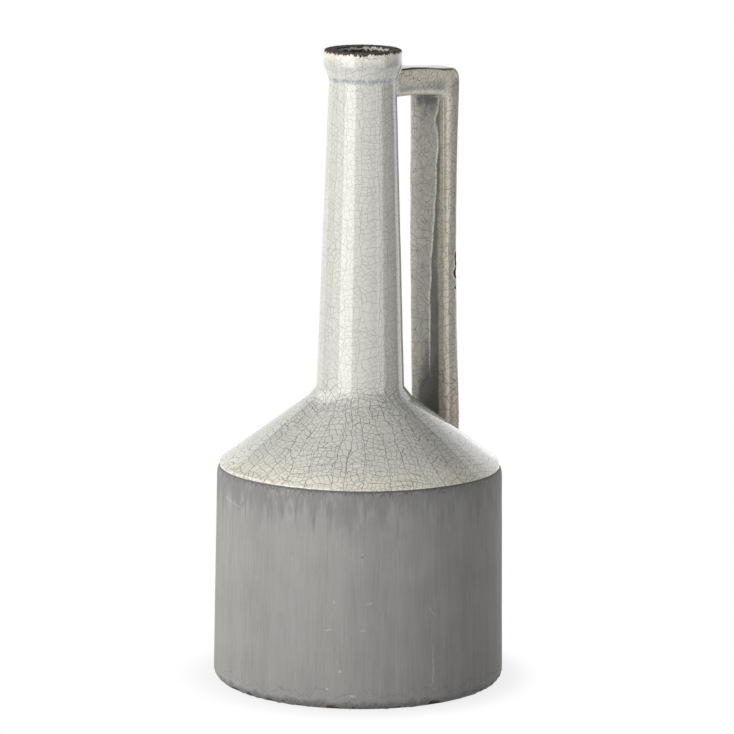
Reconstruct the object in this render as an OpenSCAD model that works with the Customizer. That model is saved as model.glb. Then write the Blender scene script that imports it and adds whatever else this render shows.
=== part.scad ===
// Long-necked ewer with a square handle, put together from thrown and slab-built clay pieces.
// Millimetres, +Z up. The origin is on the table under the neck, and the handle lies along +X.

/* [Body] */
// Diameter of the body at its foot
base_d = 160; // [135:1:200]
// Draw of the body's radius from its foot to the shoulder's corner
wall_taper = 1.6; // [0:0.1:6]
// Height of the shoulder's corner above the table
shoulder_h = 119.5; // [80:0.5:180]
// Radius of the foot's outer edge
foot_round = 5; // [2:0.5:8]
// Radius of the shoulder's outer corner
shoulder_round = 10; // [4:0.5:11]
// Thickness of the body's wall
wall_t = 6; // [4:0.25:9]
// Thickness of the floor
floor_t = 9; // [7:0.5:16]
// Height of the flange that the wall stands on
flange_t = 4; // [2.5:0.5:5.5]
// Width of the ring that the ewer stands on
foot_ring_w = 16; // [10:1:40]
// Depth of the recess inside that ring
foot_recess = 1.5; // [0.5:0.25:2]

/* [Shoulder and neck] */
// Height of the shoulder's cone, from its corner to where it crosses the neck
shoulder_rise = 41; // [30:0.5:50]
// Thickness of the shoulder's wall
shoulder_t = 6; // [4.5:0.25:8]
// Diameter of the neck where it crosses the cone
neck_foot_d = 47.7; // [44:0.1:56]
// Diameter of the neck under its collar
neck_top_d = 36; // [34.5:0.1:42]
// Length of the neck from the cone's crossing to the collar
neck_l = 174; // [120:1:220]
// Radius of the sweep from shoulder to neck
neck_fillet = 7; // [4:0.5:14]
// Thickness of the neck's wall at its foot
neck_t = 4.6; // [3.5:0.1:7]

/* [Collar and mouth] */
// Height of the collar
collar_h = 15; // [12:0.5:24]
// Height of the flare at the collar's lower edge
flare_h = 7; // [5:0.25:8]
// Widest diameter of the collar
collar_d = 42.4; // [42:0.1:50]
// Outer diameter of the lip
lip_d = 41.6; // [39:0.1:48]
// Diameter of the mouth
mouth_d = 28; // [24:0.5:30]
// Radius between the flare and the collar's band
collar_round = 5; // [2:0.5:8]
// Radius of the lip's edges
lip_round = 0.8; // [0.3:0.1:1.5]

/* [Handle] */
// Width of the handle
handle_w = 27.3; // [18:0.1:32]
// Radius along the handle's edges that face the neck
inside_round = 4.4; // [1:0.1:4.6]
// Radius along the handle's outer edges
outside_round = 2.6; // [1:0.1:2.8]
// Height of the arm's top above the collar's lower edge, at the axis
arm_lift = 5; // [0:0.25:8]
// Fall of the arm's top from the axis to its corner
arm_fall = 5.2; // [0:0.1:8]
// Thickness of the arm at its root
arm_root_t = 15.3; // [12:0.1:20]
// Thickness of the arm at its corner
arm_end_t = 13.6; // [11:0.1:18]
// Radius of the handle's outer corner
corner_out = 4.4; // [2:0.1:6]
// Radius of the handle's inner corner
corner_in = 3.4; // [1.5:0.1:6]
// Distance of the strap's foot inside the shoulder's corner
strap_inset = 8.3; // [6:0.1:20]
// Draw of the strap's inner face towards the neck, from its foot to half height
strap_mid_draw = 2.7; // [0:0.1:6]
// Draw of the strap's inner face towards the neck, from its foot to its top
strap_top_draw = 4.4; // [0:0.1:10]
// Thickness of the strap at its top
strap_top_t = 11.7; // [9:0.1:14]
// Thickness of the strap at half height
strap_mid_t = 9.4; // [7.5:0.1:13]
// Thickness of the strap at its foot
strap_foot_t = 12.6; // [9:0.1:13]

/* [Seams] */
// Depth of the stepped laps between the rings
lap = 4; // [2:0.25:6]
// Distance of the shoulder's seam below its corner
shoulder_seam_drop = 6; // [5:0.5:14]
// Distance of the neck's seam outside the cone's crossing
neck_seam_out = 10; // [9:0.5:14]
// Width of the ledge that the neck's foot sits on
ledge_w = 3; // [1.5:0.25:4]
// Radius of the coil between floor and wall
floor_coil_r = 7; // [4:0.5:14]
// Radius of the bead over the shoulder's seam
shoulder_coil_r = 5; // [3:0.5:8]
// Radius of the bead over the neck's seam
neck_coil_r = 4; // [2.5:0.5:6]
// Size of the clay pressed round the handle's two ends
handle_coil = 2.2; // [1:0.1:3]

/* [Hidden] */

// Finishes as the photo shows them
glaze = [0.80, 0.80, 0.76];
engobe = [0.52, 0.52, 0.51];
clay = [0.42, 0.35, 0.31];

// Smoothness of arcs, turned rings and the handle's rounded edges
arc_steps = 8;
turn_steps = 120;
edge_steps = 4;
strap_steps = 8;
// Overshoot of a cut past the surface that it opens
past = 1;
// Depth that the strap's uncut end reaches under the cone
foot_bury = 5.5;

// Heights up the axis
neck_foot_h = shoulder_h + shoulder_rise;
collar_z = neck_foot_h + neck_l;
total_h = collar_z + collar_h;
flare_z = collar_z + flare_h;
spigot_z = collar_z + lap;
seam_z = shoulder_h - shoulder_seam_drop;

// Radii of the outer skin
base_r = base_d / 2;
shoulder_r = base_r - wall_taper;
neck_foot_r = neck_foot_d / 2;
neck_top_r = neck_top_d / 2;
collar_r = collar_d / 2;
lip_r = lip_d / 2;
reach = base_d;

// The cone's slope and its wall measured straight down
cone_fall = shoulder_rise / (shoulder_r - neck_foot_r);
cone_drop = shoulder_t * sqrt(1 + cone_fall * cone_fall);

// Radii and heights of the hollow
base_in_r = base_r - wall_t;
shoulder_in_r = shoulder_r - wall_t;
shoulder_in_z = cone_z(shoulder_in_r) - cone_drop;
neck_in_r = neck_foot_r - neck_t;
neck_in_z = cone_z(neck_in_r) - cone_drop;
mouth_r = mouth_d / 2;

// Stepped joints between the rings
seam_lap_r = skin_r(seam_z) - wall_t / 2;
neck_seam_r = neck_foot_r + neck_seam_out;
neck_seam_z = cone_z(neck_seam_r) - cone_drop / 2;
ledge_r = neck_seam_r - ledge_w;
spigot_r = (neck_top_r + mouth_r) / 2;

// Distance from the axis to the strap's inner face at its foot, half height and top
strap_foot_x = shoulder_r - strap_inset - strap_foot_t;
strap_mid_x = strap_foot_x - strap_mid_draw;
strap_top_x = strap_foot_x - strap_top_draw;

// Rails of the handle, as points of its side outline
arm_top_root = [0, collar_z + arm_lift];
arm_top_end = [strap_top_x + strap_top_t, arm_top_root[1] - arm_fall];
arm_under_root = arm_top_root - [0, arm_root_t];
arm_under_end = [strap_top_x, arm_top_end[1] - arm_end_t];
strap_start_z = arm_under_end[1] - corner_in;
strap_end_z = cone_z(strap_foot_x + strap_foot_t) - foot_bury;

// Height of the shoulder's outer cone at radius r
function cone_z(r) = shoulder_h + (shoulder_r - r) * cone_fall;
// Outer radius of the body's wall at height z
function skin_r(z) = base_r + (shoulder_r - base_r) * z / shoulder_h;
// Inner radius of the body's wall at height z
function hollow_r(z) =
    base_in_r + (shoulder_in_r - base_in_r) * (z - floor_t) / (shoulder_in_z - floor_t);

function unit(v) = v / norm(v);

// Arc of a given radius that rounds a corner between two neighbouring points
function corner_arc(before, corner, after, radius) =
    let (
        u = unit(before - corner),
        v = unit(after - corner),
        half = acos(u * v) / 2,
        centre = corner + unit(u + v) * radius / sin(half),
        first = corner + u * radius / tan(half) - centre,
        last = corner + v * radius / tan(half) - centre,
        start = atan2(first[1], first[0]),
        turn = atan2(last[1], last[0]) - start,
        sweep = turn > 180 ? turn - 360 : turn < -180 ? turn + 360 : turn
    )
    [
        for (i = [0 : arc_steps])
        let (a = start + sweep * i / arc_steps)
        centre + radius * [cos(a), sin(a)]
    ];

// Outer skin of the vessel from the foot to the lip, as radius and height
foot_corner = [base_r, 0];
shoulder_corner = [shoulder_r, shoulder_h];
neck_corner = [neck_foot_r, neck_foot_h];
collar_foot = [neck_top_r, collar_z];
collar_corner = [collar_r, flare_z];
lip_corner = [lip_r, total_h];
skin = concat(
    corner_arc([0, 0], foot_corner, shoulder_corner, foot_round),
    corner_arc(foot_corner, shoulder_corner, neck_corner, shoulder_round),
    corner_arc(shoulder_corner, neck_corner, collar_foot, neck_fillet),
    [collar_foot],
    corner_arc(collar_foot, collar_corner, lip_corner, collar_round),
    corner_arc(collar_corner, lip_corner, [0, total_h], lip_round)
);

// The skin closed at the axis, and grown outwards by a share of clay
function outer_outline(grow = 0) = concat(
    [[0, 0]],
    [for (p = skin) [p[0] + grow, p[1]]],
    [[0, total_h]]
);

hollow_outline = concat(
    [
        [0, floor_t],
        [base_in_r, floor_t],
        [shoulder_in_r, shoulder_in_z],
        [neck_in_r, neck_in_z],
        [mouth_r, spigot_z]
    ],
    corner_arc([mouth_r, spigot_z], [mouth_r, total_h], lip_corner, lip_round),
    [[mouth_r + lip_round, total_h + past], [0, total_h + past]]
);

// Strap faces at share t of the way down, through three chosen points
function through(a, b, c, t) = a * (1 - t) * (1 - 2 * t) + b * 4 * t * (1 - t) + c * t * (2 * t - 1);
function strap_z(t) = strap_start_z + (strap_end_z - strap_start_z) * t;
function strap_in(t) = through(strap_top_x, strap_mid_x, strap_foot_x, t);
function strap_out(t) =
    strap_in(t) + through(strap_top_t, strap_mid_t, strap_foot_t, t);

// Stations of the handle, each an inner and an outer point of its side outline
corner_inner = corner_arc(
    arm_under_root, arm_under_end, [strap_in(1 / strap_steps), strap_z(1 / strap_steps)], corner_in
);
corner_outer = corner_arc(
    arm_top_root, arm_top_end, [strap_out(1 / strap_steps), strap_z(1 / strap_steps)], corner_out
);
mitre = arc_steps / 2;
arm_stations = concat(
    [[arm_under_root, arm_top_root]],
    [for (i = [0 : mitre]) [corner_inner[i], corner_outer[i]]]
);
strap_stations = concat(
    [for (i = [mitre : arc_steps]) [corner_inner[i], corner_outer[i]]],
    [
        for (i = [1 : strap_steps])
        let (t = i / strap_steps)
        [[strap_in(t), strap_z(t)], [strap_out(t), strap_z(t)]]
    ]
);

// Round-cornered section across the handle at one station
function section(station, grow) =
    let (
        along = unit(station[1] - station[0]),
        middle = (station[0] + station[1]) / 2,
        half_t = norm(station[1] - station[0]) / 2 + grow,
        half_w = handle_w / 2 + grow
    )
    [
        for (k = [0 : 3], i = [0 : edge_steps])
        let (
            outside = k == 0 || k == 3,
            r = (outside ? outside_round : inside_round) + grow,
            angle = 90 * (k + i / edge_steps),
            a = (outside ? 1 : -1) * (half_t - r) + r * cos(angle),
            b = (k < 2 ? 1 : -1) * (half_w - r) + r * sin(angle)
        )
        [middle[0] + along[0] * a, b, middle[1] + along[1] * a]
    ];

// Bar through a list of stations
module bar(stations, grow = 0) {
    rings = [for (s = stations) section(s, grow)];
    count = len(rings[0]);
    last = len(rings) - 1;
    points = [for (ring = rings) each ring];
    sides = [
        for (j = [0 : last - 1], i = [0 : count - 1])
        let (
            a = j * count + i,
            b = j * count + (i + 1) % count
        )
        each [[a, b, b + count], [a, b + count, a + count]]
    ];
    start_cap = [for (i = [1 : count - 2]) [0, i + 1, i]];
    end_cap = [for (i = [1 : count - 2]) [last * count, last * count + i, last * count + i + 1]];
    polyhedron(points, concat(sides, start_cap, end_cap));
}

// Solid inside the vessel's skin, for coping the handle to it
module vessel(grow = 0) {
    rotate_extrude($fn = turn_steps)
    polygon(outer_outline(grow));
}

// Turned ring cut out of the vessel's wall between its joints
module ring(zone) {
    rotate_extrude($fn = turn_steps)
    intersection() {
        difference() {
            polygon(outer_outline());
            polygon(hollow_outline);
        }
        polygon(zone);
    }
}

// Turned bead of clay against the inside of the wall
module bead(centre, radius) {
    rotate_extrude($fn = turn_steps)
    intersection() {
        translate(centre)
        circle(radius, $fn = turn_steps);
        polygon(hollow_outline);
    }
}

module base_slab() {
    color(clay)
    difference() {
        ring([
            [0, 0],
            [reach, 0],
            [reach, flange_t],
            [base_in_r, flange_t],
            [base_in_r, floor_t],
            [0, floor_t]
        ]);
        translate([0, 0, -past])
        cylinder(h = foot_recess + past, r = base_r - foot_ring_w, $fn = turn_steps);
    }
}

module floor_coil() {
    color(clay)
    bead([base_in_r, floor_t], floor_coil_r);
}

module body_wall() {
    color(engobe)
    ring([
        [base_in_r, flange_t],
        [reach, flange_t],
        [reach, seam_z],
        [seam_lap_r, seam_z],
        [seam_lap_r, seam_z - lap],
        [0, seam_z - lap],
        [0, floor_t],
        [base_in_r, floor_t]
    ]);
}

module shoulder_coil() {
    color(clay)
    bead([hollow_r(seam_z - lap), seam_z - lap], shoulder_coil_r);
}

module shoulder_cone() {
    color(glaze)
    ring([
        [ledge_r, seam_z - lap],
        [seam_lap_r, seam_z - lap],
        [seam_lap_r, seam_z],
        [reach, seam_z],
        [reach, neck_foot_h],
        [neck_seam_r, neck_foot_h],
        [neck_seam_r, neck_seam_z],
        [ledge_r, neck_seam_z]
    ]);
}

module neck_coil() {
    color(clay)
    bead([ledge_r, cone_z(ledge_r) - cone_drop], neck_coil_r);
}

module neck_tube() {
    color(glaze)
    ring([
        [0, seam_z],
        [ledge_r, seam_z],
        [ledge_r, neck_seam_z],
        [neck_seam_r, neck_seam_z],
        [neck_seam_r, collar_z],
        [spigot_r, collar_z],
        [spigot_r, spigot_z],
        [0, spigot_z]
    ]);
}

module mouth_collar() {
    color(glaze)
    ring([
        [0, spigot_z],
        [spigot_r, spigot_z],
        [spigot_r, collar_z],
        [reach, collar_z],
        [reach, total_h + past],
        [0, total_h + past]
    ]);
}

module arm_coil() {
    color(glaze)
    difference() {
        intersection() {
            bar(arm_stations, handle_coil);
            vessel(handle_coil);
        }
        vessel();
        bar(arm_stations);
    }
}

module handle_arm() {
    color(glaze)
    difference() {
        bar(arm_stations);
        vessel();
    }
}

module handle_strap() {
    color(glaze)
    difference() {
        bar(strap_stations);
        vessel();
    }
}

module foot_coil() {
    color(glaze)
    difference() {
        intersection() {
            bar(strap_stations, handle_coil);
            vessel(handle_coil / cone_fall);
        }
        vessel();
        bar(strap_stations);
    }
}

base_slab();
floor_coil();
body_wall();
shoulder_coil();
shoulder_cone();
neck_coil();
neck_tube();
mouth_collar();
arm_coil();
handle_arm();
handle_strap();
foot_coil();
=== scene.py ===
"""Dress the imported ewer: clay pieces under a brushed grey engobe and a crackle glaze.

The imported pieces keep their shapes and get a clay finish. The coats are modelled over them in the
order in which a potter lays them on: engobe round the body, the wiped lip, glaze over shoulder,
neck and collar, and the glazed handle.
"""

import logging
import math
from collections.abc import Callable, Iterable, Sequence
from dataclasses import dataclass, field
from enum import Enum
from functools import cached_property
from typing import Any

import bmesh
import bpy
from mathutils import Matrix, Vector, noise


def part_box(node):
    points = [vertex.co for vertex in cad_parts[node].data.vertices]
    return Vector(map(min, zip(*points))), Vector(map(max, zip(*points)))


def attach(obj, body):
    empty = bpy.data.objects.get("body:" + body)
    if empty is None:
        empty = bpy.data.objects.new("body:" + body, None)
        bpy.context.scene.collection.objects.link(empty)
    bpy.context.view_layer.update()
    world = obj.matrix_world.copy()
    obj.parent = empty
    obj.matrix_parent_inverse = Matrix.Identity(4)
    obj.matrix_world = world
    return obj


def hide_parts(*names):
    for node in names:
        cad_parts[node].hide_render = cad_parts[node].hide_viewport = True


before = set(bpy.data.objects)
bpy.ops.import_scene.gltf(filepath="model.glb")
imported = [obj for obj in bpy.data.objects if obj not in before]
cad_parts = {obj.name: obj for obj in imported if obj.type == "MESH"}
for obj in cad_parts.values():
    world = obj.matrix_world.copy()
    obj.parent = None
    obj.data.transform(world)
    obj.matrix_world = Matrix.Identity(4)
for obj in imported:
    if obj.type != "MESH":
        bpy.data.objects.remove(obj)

MM = 0.001
BODY = "root"
IMAGE_PIXELS = 734
TINY = 1e-6
MID_GREY = (0.5, 0.5, 0.5)
WHITE = (1.0, 1.0, 1.0, 1.0)
LOG = logging.getLogger("ewer")

Colour = tuple[float, float, float]
Place = tuple[float, float]
Pair = tuple[Vector, Vector]
Piece = bpy.types.Object
Material = bpy.types.Material


class Slot(Enum):
    """Material slots of the record."""

    GLAZE = "crackle_glaze"
    ENGOBE = "grey_engobe"
    CLAY = "bare_clay"


class Layout(Enum):
    """How the main cracks of a glaze run over a piece."""

    TURNED = "strips down the slope of a turned form"
    STRAP = "patches over a flat strap"


def smooth_step(low: float, high: float, value: float) -> float:
    """Ease a value from 0 at low to 1 at high, whichever of the two is larger."""
    share = min(1.0, max(0.0, (value - low) / (high - low)))
    return share * share * (3 - 2 * share)


def bell(centre: float, width: float, value: float) -> float:
    """Give 1 at the centre, falling to about a third at the width to each side."""
    return math.exp(-(((value - centre) / width) ** 2))


def evenly(first: float, last: float, count: int) -> list[float]:
    """Divide the way from first to last into equal steps, with both ends."""
    return [first + (last - first) * i / count for i in range(count + 1)]


def right_of(front: Vector) -> Vector:
    """Level direction to the right of someone who faces the front."""
    return front.cross(Vector((0, 0, -1)))


# Outlines


@dataclass(frozen=True)
class Corner:
    """A corner of a side outline, in millimetres, with the radius that rounds it."""

    r: float
    z: float
    rounding: float = 0.0

    @property
    def at(self) -> Vector:
        """The corner as a plane point."""
        return Vector((self.r, self.z))


@dataclass(frozen=True)
class Outline:
    """A side outline through rounded corners, measured along its length in millimetres."""

    corners: tuple[Corner, ...]
    arc_step: float = 0.12

    @cached_property
    def points(self) -> list[Vector]:
        """Plane points from the first corner to the last, with the arcs laid out."""
        out = [self.corners[0].at]
        for before, corner, after in zip(self.corners, self.corners[1:], self.corners[2:]):
            out.extend(self._arc(before.at, corner, after.at))
        out.append(self.corners[-1].at)
        return out

    def _arc(self, before: Vector, corner: Corner, after: Vector) -> list[Vector]:
        """Round one corner.

        Args:
            before: The point before the corner.
            corner: The corner with its radius.
            after: The point after the corner.

        Returns:
            Points of the arc, or the bare corner where it has no radius.
        """
        if corner.rounding <= 0:
            return [corner.at]
        u = (before - corner.at).normalized()
        v = (after - corner.at).normalized()
        half = u.angle(v) / 2
        centre = corner.at + (u + v).normalized() * (corner.rounding / math.sin(half))
        first, last = (corner.at + w * (corner.rounding / math.tan(half)) - centre for w in (u, v))
        start = math.atan2(first.y, first.x)
        sweep = math.remainder(math.atan2(last.y, last.x) - start, math.tau)
        count = max(2, round(abs(sweep) / self.arc_step))
        angles = [start + sweep * i / count for i in range(count + 1)]
        return [centre + Vector((math.cos(a), math.sin(a))) * corner.rounding for a in angles]

    @cached_property
    def lengths(self) -> list[float]:
        """Distance along the outline of each of its points."""
        total = [0.0]
        for a, b in zip(self.points, self.points[1:]):
            total.append(total[-1] + (b - a).length)
        return total

    def sample(self, stations: Sequence[float], lift: Callable[[float], float]) -> list[Vector]:
        """Walk along the outline at chosen distances, lifted off it.

        Args:
            stations: Distances along the outline.
            lift: Height off the outline, to the right of the walk, at a distance.

        Returns:
            One plane point for each station.
        """
        points, lengths = self.points, self.lengths
        out = []
        index = 0
        for station in stations:
            while index < len(lengths) - 2 and lengths[index + 1] < station:
                index += 1
            span = points[index + 1] - points[index]
            share = (station - lengths[index]) / max(span.length, TINY)
            ahead = points[min(index + 2, len(points) - 1)] - points[index]
            behind = points[index + 1] - points[max(index - 1, 0)]
            along = behind.normalized().lerp(ahead.normalized(), share).normalized()
            out.append(points[index] + span * share + Vector((along.y, -along.x)) * lift(station))
        return out

    def coat(
        self, stations: Sequence[float], over: Callable[[float], float], under: float, skip: int
    ) -> list[Vector]:
        """Draw the closed profile of a coat that lies on the outline.

        Args:
            stations: Distances along the outline, for the coat's outer face.
            over: Height of the outer face at a distance.
            under: Height of the inner face.
            skip: The inner face keeps one station in so many, and the last.

        Returns:
            Plane points out along the outer face and back along the inner one.
        """
        inner = self.sample([*stations[:-1:skip], stations[-1]], lambda _: under)
        return self.sample(stations, over) + inner[::-1]

    def distance_at(self, z: float) -> float:
        """Find the distance along the outline at which it first reaches a height.

        Args:
            z: The height.

        Returns:
            The distance along the outline.
        """
        for start, a, b in zip(self.lengths, self.points, self.points[1:]):
            if a.y <= z <= b.y:
                return start + (b - a).length * (z - a.y) / max(b.y - a.y, TINY)
        return self.lengths[-1]


@dataclass(frozen=True)
class Vessel:
    """The turned body, shoulder, neck and collar, as radii and heights in millimetres."""

    base_r: float = 80.0
    wall_taper: float = 1.6
    foot_round: float = 5.0
    shoulder_h: float = 119.5
    shoulder_round: float = 10.0
    shoulder_rise: float = 41.0
    neck_foot_r: float = 23.85
    neck_fillet: float = 7.0
    neck_top_r: float = 18.0
    collar_z: float = field(default_factory=lambda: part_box("mouth_collar")[0].z / MM)
    crease_round: float = 2.5
    flare_h: float = 7.0
    collar_r: float = 21.2
    collar_round: float = 5.0
    lip_r: float = 20.8
    lip_z: float = field(default_factory=lambda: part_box("mouth_collar")[1].z / MM)
    lip_round: float = 0.8
    mouth_r: float = 14.0

    @property
    def neck_foot_z(self) -> float:
        """Height at which the cone would cross the neck."""
        return self.shoulder_h + self.shoulder_rise

    @cached_property
    def skin(self) -> Outline:
        """Outer skin from the table to the lip's inner edge."""
        return Outline((
            Corner(self.base_r - 2 * self.foot_round, 0.0),
            Corner(self.base_r, 0.0, self.foot_round),
            Corner(self.base_r - self.wall_taper, self.shoulder_h, self.shoulder_round),
            Corner(self.neck_foot_r, self.neck_foot_z, self.neck_fillet),
            Corner(self.neck_top_r, self.collar_z, self.crease_round),
            Corner(self.collar_r, self.collar_z + self.flare_h, self.collar_round),
            Corner(self.lip_r, self.lip_z, self.lip_round),
            Corner(self.mouth_r, self.lip_z),
        ))


# Modelling moves


class Bench:
    """The modelling moves that the pieces share, each made with an operator."""

    @staticmethod
    def start(name: str, at: Vector) -> Piece:
        """Start a mesh from one point, in edit mode.

        Args:
            name: Name of the new piece.
            at: The point, in metres.

        Returns:
            The new object, at the origin.
        """
        bpy.ops.object.select_all(action="DESELECT")
        bpy.ops.mesh.primitive_plane_add(size=MM, location=(0, 0, 0))
        piece = bpy.context.object
        piece.name = piece.data.name = name
        bpy.ops.object.mode_set(mode="EDIT")
        bpy.ops.mesh.select_all(action="SELECT")
        bpy.ops.mesh.merge(type="CENTER")
        bpy.ops.transform.translate(value=at)
        return piece

    @staticmethod
    def ring(points: Sequence[Vector]) -> None:
        """Draw a ring of edges on from the selected point.

        Args:
            points: The ring's points, of which the first is there already.
        """
        for a, b in zip(points, points[1:]):
            bpy.ops.mesh.extrude_vertices_move(TRANSFORM_OT_translate={"value": b - a})
        Bench.pick((0, len(points) - 1))
        bpy.ops.mesh.edge_face_add()

    @staticmethod
    def pick(indices: Sequence[int]) -> None:
        """Select some vertices, and nothing else.

        Args:
            indices: Their indices.
        """
        mesh = bmesh.from_edit_mesh(bpy.context.object.data)
        mesh.verts.index_update()
        bpy.ops.mesh.select_all(action="DESELECT")
        for vertex in mesh.verts:
            vertex.select_set(vertex.index in indices)
        mesh.select_flush_mode()
        bmesh.update_edit_mesh(bpy.context.object.data)

    @staticmethod
    def close() -> None:
        """Merge doubles, turn the faces outwards and leave edit mode."""
        bpy.ops.mesh.select_all(action="SELECT")
        bpy.ops.mesh.remove_doubles(threshold=0.001 * MM)
        bpy.ops.mesh.normals_make_consistent(inside=False)
        bpy.ops.object.mode_set(mode="OBJECT")
        bpy.ops.object.shade_smooth()

    @staticmethod
    def turn(name: str, profile: Sequence[Vector], steps: int) -> Piece:
        """Turn a closed profile round the vertical axis.

        Args:
            name: Name of the new piece.
            profile: Plane points in millimetres, as radius and height.
            steps: Number of steps in the whole turn.

        Returns:
            The turned piece.
        """
        line = [Vector((p.x, 0, p.y)) * MM for p in profile]
        piece = Bench.start(name, line[0])
        Bench.ring(line)
        bpy.ops.object.mode_set(mode="OBJECT")
        screw = piece.modifiers.new("turn", "SCREW")
        screw.axis = "Z"
        screw.steps = screw.render_steps = steps
        screw.use_merge_vertices = True
        Bench.apply(piece, screw)
        bpy.ops.object.mode_set(mode="EDIT")
        Bench.close()
        return piece

    @staticmethod
    def weigh(piece: Piece, weight: Callable[[Vector], float]) -> str:
        """Weigh each vertex by its place, for a modifier.

        Args:
            piece: The piece.
            weight: Takes a place in millimetres and gives a weight from 0 to 1.

        Returns:
            Name of the new vertex group.
        """
        group = piece.vertex_groups.new(name="weight")
        for vertex in piece.data.vertices:
            share = weight(vertex.co / MM)
            if share > 0:
                group.add([vertex.index], share, "REPLACE")
        return group.name

    @staticmethod
    def push(
        piece: Piece,
        group: str,
        direction: str,
        distance: float,
        texture: bpy.types.Texture | None = None,
        level: float = 0.0,
    ) -> None:
        """Move a weighted part of a piece.

        Args:
            piece: The piece.
            group: Vertex group that weighs the move, or nothing for the whole piece.
            direction: Axis of the move, or NORMAL.
            distance: How far it goes, in millimetres.
            texture: Texture that varies the move.
            level: Value of the texture that counts as no move.
        """
        move = piece.modifiers.new("push", "DISPLACE")
        move.texture = texture
        move.texture_coords = "LOCAL"
        move.direction = direction
        move.mid_level = level
        move.strength = distance * MM
        move.vertex_group = group
        Bench.apply(piece, move)

    @staticmethod
    def lumps(
        piece: Piece,
        size: float,
        height: float,
        group: str = "",
        direction: str = "NORMAL",
        depth: int = 1,
        level: float = 0.5,
    ) -> None:
        """Push a piece's surface in and out by a cloudy noise.

        Args:
            piece: The piece.
            size: Size of the lumps in millimetres.
            height: Full height of the lumps in millimetres.
            group: Vertex group that limits them.
            direction: Axis of the push, or NORMAL.
            depth: Number of finer layers of noise.
            level: Share of the noise that counts as no push.
        """
        texture = bpy.data.textures.new(f"{piece.name}_lumps", "CLOUDS")
        texture.noise_scale = size * MM
        texture.noise_depth = depth
        Bench.push(piece, group, direction, height, texture, level)

    @staticmethod
    def apply(piece: Piece, modifier: bpy.types.Modifier) -> None:
        """Apply a modifier to its piece.

        Args:
            piece: The piece.
            modifier: One of its modifiers.
        """
        bpy.ops.object.select_all(action="DESELECT")
        piece.select_set(True)
        bpy.context.view_layer.objects.active = piece
        bpy.ops.object.modifier_apply(modifier=modifier.name)

    @staticmethod
    def note(piece: Piece, name: str, value: Callable[[Vector, Vector], float]) -> None:
        """Write a number on each vertex for the finish to read.

        Args:
            piece: The piece.
            name: Name of the attribute.
            value: Takes a vertex's place in millimetres and its normal.
        """
        layer = piece.data.attributes.new(name, "FLOAT", "POINT")
        for vertex, item in zip(piece.data.vertices, layer.data):
            item.value = value(vertex.co / MM, vertex.normal)


def settle(piece: Piece, finish: Material) -> None:
    """Give a finished piece its material and body, and report it.

    Args:
        piece: The piece.
        finish: Its material.
    """
    piece.data.materials.append(finish)
    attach(piece, BODY)
    LOG.info("%s: %d faces", piece.name, len(piece.data.polygons))


# Shader maths


def node_method(
    kind: str, operation: str, swapped: bool = False, out: Any = 0
) -> Callable[..., "Wire"]:
    """Make a method of Wire that adds one node.

    Args:
        kind: Math or VectorMath.
        operation: What the node does.
        swapped: Whether the other value comes first.
        out: Name or number of the output to hand back.

    Returns:
        The method.
    """

    def method(self: "Wire", *others: Any) -> "Wire":
        """Add the node over this wire and other values."""
        values = (*others, self) if swapped else (self, *others)
        return self.graph.node(kind, {"operation": operation}, dict(enumerate(values)), out)

    return method


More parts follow.
